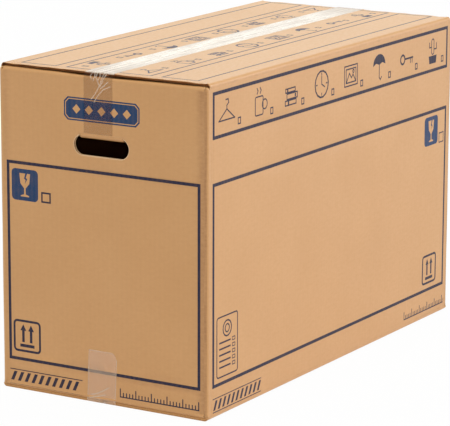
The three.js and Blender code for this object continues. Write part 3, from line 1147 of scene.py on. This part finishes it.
# Clear tape
tape = {
    "skin": 0.12 * mm, "film": 0.06 * mm, "column": 0.46 * mm,
    "plainStep": 3 * mm, "creasedStep": 0.6 * mm, "flatStep": 9 * mm,
    "turnSteps": 6, "bridgeSteps": 8, "cornerSteps": 3,
    "tooth": 1.6 * mm, "toothDepth": 0.7 * mm, "lowSkew": 3 * mm,
    # creases in the film near the upper and lower edge of the short panel, in millimetres from its middle
    # and above the floor
    "creases": (
        ((2.6, 457), (1.4, 452), (-0.5, 444), (-3.2, 439), (-7, 432), (-11.2, 425.6), (-16, 420.5)),
        ((15, 440), (9, 437.5), (2.5, 434.4), (-5.5, 425.6), (-11.2, 416.7)),
        ((-15.5, 457), (-18, 452), (-15, 447.5)), ((-13, 457), (-11, 451), (-12.5, 446)),
        ((-8, 457), (-9, 451), (-5.6, 446), (-3.2, 440)), ((-5, 457), (-2.5, 452), (-4.6, 447)),
        ((6, 455), (2, 445), (-2, 438)), ((11, 446), (4.5, 440), (-1, 436)),
    ),
    "lowCreases": (((-20, 10.5), (-12, 12), (-2, 17), (9, 23.5)), ((-21, 6), (-10, 8.5), (4, 13))),
    "creasedReach": 44 * mm, "lowCreasedReach": 27 * mm, "creaseLimit": 60 * mm,
    # the film's creases get a painted highlight as well as their raised shape
    "creaseWidth": 0.34 * mm, "creaseHeight": 0.40 * mm, "creaseHighlight": 0.75,
    "cornerRound": 9 * mm, "lowBend": 1 * mm, "lowLift": 0.5 * mm,
    # painted glare, with some trapped air: whiter over the flaps, more away from the ends, less along the
    # seam, and a little haze under the box
    "topGlare": 0.60, "innerGlare": 0.36, "glareReach": 120 * mm, "seamGlare": 0.22, "seamWidth": 0.9 * mm,
    "lowHaze": 0.14, "rimHighlight": 0.20, "rimHeight": 72.8 * mm,
    # the film turns towards the last of these colours where its painted glare is strongest
    "brown": (0.14, 0.028, 0.006), "amber": (1.0, 0.75, 0.57), "glareSilver": (1.0, 0.89, 0.78),
    "alpha": (0.09, 0.95), "roughness": (0.10, 0.28), "shine": 0.5, "bump": 0.35, "streakDepth": 0.2 * mm,
}


def tapeMaterial():
    material, tree, shader = nodeTree("clearTape")
    # Painted glare: where the attribute is high the film is painted whiter and more opaque, streaked as by
    # trapped air
    hazeAndGlare = addNode(tree, "Attribute", attribute_name="hazeAndGlare").outputs["Fac"]
    streaks = noiseOn(tree, scaledUv(tree, 300, 1.2), 1, 4, 0.6)
    clouds = noiseOn(tree, scaledUv(tree, 60, 14), 1, 3, 0.6)
    milkyGlare = combine(tree, "MULTIPLY", remap(tree, streaks, 0.35, 0.72, 0.86, 1.14), hazeAndGlare)
    milkyGlare = combine(tree, "MULTIPLY", remap(tree, clouds, 0.3, 0.7, 0.75, 1.2), milkyGlare)
    milkyGlare = combine(tree, "MINIMUM", milkyGlare, 1.0)
    colour = mixColours(tree, remap(tree, milkyGlare, 0.0, 0.04, 0, 1), tape["brown"], tape["amber"])
    colour = mixColours(tree, remap(tree, milkyGlare, 0.22, 0.5, 0, 1), colour, tape["glareSilver"])
    feed(tree, shader, {
        "Base Color": colour, "Alpha": remap(tree, milkyGlare, 0, 1, *tape["alpha"]),
        "Roughness": remap(tree, milkyGlare, 0, 1, *tape["roughness"]), "Specular IOR Level": tape["shine"]})
    addBump(tree, shader, streaks, tape["bump"], tape["streakDepth"])
    return material


def tapeRoute(reach, side):
    # Stations from the front end over to the back end: place along Y, height and outward direction.
    # side is 1 over the top and -1 under the bottom.
    skin = tape["skin"]
    inner, outer = panels["front"], panels["right"]
    faceHeight = cartonHigh.z if side > 0 else cartonLow.z
    centre = Vector((bendOutside - halfLength, -layerPitch - bendOutside))
    corner = Vector((-outer["halfFlap"], 0))
    across = corner - centre
    slope = math.atan2(across.y, across.x) - math.asin(bendOutside / across.length)
    if side < 0:
        # The bottom flaps stand flush with the short panels, so the tape turns in one small bend
        centre = Vector((tape["lowBend"] - halfLength, -tape["lowBend"]))
        corner, slope = Vector((centre.x, 0)), 0.0
    radius = bendOutside if side > 0 else tape["lowBend"]
    route = []

    def add(y, height, normalAngle):
        normal = Vector((0, math.cos(normalAngle), side * math.sin(normalAngle)))
        route.append((y, faceHeight + side * height, normal))

    # Closer together where the film is creased
    creasedFrom = -tape["creasedReach" if side > 0 else "lowCreasedReach"]
    wall = spread(-reach, creasedFrom, tape["plainStep"])
    wall += spread(creasedFrom, centre.y, tape["creasedStep"])[1:]
    for height in wall:
        add(-halfLength - skin, height, math.pi)
    turn, turnSteps = math.pi / 2 - slope, tape["turnSteps"]
    for i in range(1, turnSteps + 1):
        angle = math.pi - turn * i / turnSteps
        add(centre.x + (radius + skin) * math.cos(angle), centre.y + (radius + skin) * math.sin(angle), angle)
    if slope:
        # Straight over the fold of the short panel, and round the edge of the outer flaps
        bridgeStart = Vector((route[-1][0], side * (route[-1][1] - faceHeight)))
        lean = slope + math.pi / 2
        end = corner + skin * Vector((math.cos(lean), math.sin(lean)))
        for i in range(1, tape["bridgeSteps"] + 1):
            spot = bridgeStart.lerp(end, i / tape["bridgeSteps"])
            add(spot.x, spot.y, lean)
        for i in range(1, tape["cornerSteps"] + 1):
            angle = lean - slope * i / tape["cornerSteps"]
            add(corner.x + skin * math.cos(angle), skin * math.sin(angle), angle)
    flat = -2 * corner.x
    steps = int(round(flat / tape["flatStep"]))
    for i in range(1, steps // 2 + 1):
        add(corner.x + flat * i / steps, skin, math.pi / 2)
    mirrored = [(-y, z, Vector((0, -n.y, n.z))) for y, z, n in reversed(route) if y < -1 * mm]
    return [station for station in route if station[0] < 1 * mm] + mirrored


def distanceToLine(x, z, line):
    best = 1e9
    for (x0, z0), (x1, z1) in zip(line, line[1:]):
        dx, dz = x1 - x0, z1 - z0
        t = min(max(((x - x0) * dx + (z - z0) * dz) / (dx * dx + dz * dz), 0), 1)
        best = min(best, math.hypot(x - x0 - t * dx, z - z0 - t * dz))
    return best * mm


def creaseAt(x, z, lines):
    # 1 on a crease of the film, 0 away from all of them
    nearest = min(distanceToLine(x / mm, z / mm, line) for line in lines)
    return math.exp(-(nearest / tape["creaseWidth"]) ** 2)


def roundedEnd(over, z, reach):
    # Height of a point of the bottom tape once its near corner is rounded off
    radius = tape["cornerRound"]
    if over <= 0:
        return z
    cut = radius - math.sqrt(max(radius ** 2 - min(over, radius) ** 2, 0))
    return z - cut * (z / reach) ** 4


def hazeAndGlareAt(side, x, y, z, t):
    # How milky the film is painted, from 0 to 1, where t runs from 0 to 1 across the strip: painted glare
    # over the flaps, painted highlights along the bottom strip's edges and top, and a little haze under the
    # box
    if side < 0:
        return tape["lowHaze"] + (tape["rimHighlight"] if t > 0.97 or t < 0.02 or z > tape["rimHeight"] else 0)
    if z < cartonHigh.z - 1 * mm:
        return 0.0
    inward = smooth((halfLength - abs(y)) / tape["glareReach"])
    seam = math.exp(-(x / tape["seamWidth"]) ** 2)
    return tape["topGlare"] + tape["innerGlare"] * inward - tape["seamGlare"] * seam


def makeTape(node, side, skewAcross):
    low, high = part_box(node)
    reach = (cartonHigh.z - low.z) if side > 0 else (high.z - cartonLow.z)
    edgeHeight = cartonHigh.z if side > 0 else 0
    columns = int(round((high.x - low.x) / tape["column"]))
    route = tapeRoute(reach, side)
    lengths = [0]
    for one, other in zip(route, route[1:]):
        lengths.append(lengths[-1] + math.hypot(other[0] - one[0], other[1] - one[1]))
    lines = tape["creases"] if side > 0 else tape["lowCreases"]
    bm = bmesh.new()
    uv = bm.loops.layers.uv.new("boardUv")
    hazeGlareLayer = bm.verts.layers.float.new("hazeAndGlare")
    rows = []
    for number, ((y, z, normal), length) in enumerate(zip(route, lengths)):
        row = []
        isEnd = number in (0, len(route) - 1)
        onWall = abs(normal.z) < 0.01
        fromEdge = abs(z - edgeHeight)
        for i in range(columns + 1):
            t = i / columns
            skew = skewAcross * (abs(y) / halfLength) * (fromEdge / reach - 0.5)
            x = low.x + (high.x - low.x) * t + skew
            place = Vector((x, y, z))
            if side < 0 and onWall and y < 0:
                place.z = roundedEnd(x - high.x + tape["cornerRound"], z, reach)
            if onWall:
                panel = panels["front" if y < 0 else "back"]
                along = z - panel["low"]
                lift = tape["lowLift"] * smooth(-along / bendOutside)
                place += normal * (relief(panel, x, along) if along >= 0 else lift)
            pucker = creaseAt(x, z, lines) if y < 0 and fromEdge < tape["creaseLimit"] else 0
            place += normal * pucker * tape["creaseHeight"]
            if isEnd:
                teeth = abs((x / tape["tooth"]) % 1 - 0.5) * 2
                place.z += side * teeth * tape["toothDepth"]
            vert = bm.verts.new(place)
            # painted glare and haze of the film, with a painted highlight along each crease
            vert[hazeGlareLayer] = min(1.0, hazeAndGlareAt(side, x, y, z, t) + tape["creaseHighlight"] * pucker)
            row.append((x, length, vert))
        rows.append(row)
    layQuads(bm, uv, rows, flip=side < 0)
    film = thickened(pieceOf(bm, node + "Film", [clearTape]), tape["film"], -1)
    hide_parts(node)
    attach(film, "root")


clearTape = tapeMaterial()
makeTape("top_tape", 1, 0)
makeTape("bottom_tape", -1, tape["lowSkew"])
print("tape is laid")

for liner in (outerLiner, innerLiner):
    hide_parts("carton")
for piece in (outerLiner, innerLiner, flutes, *tongues):
    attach(piece, "root")
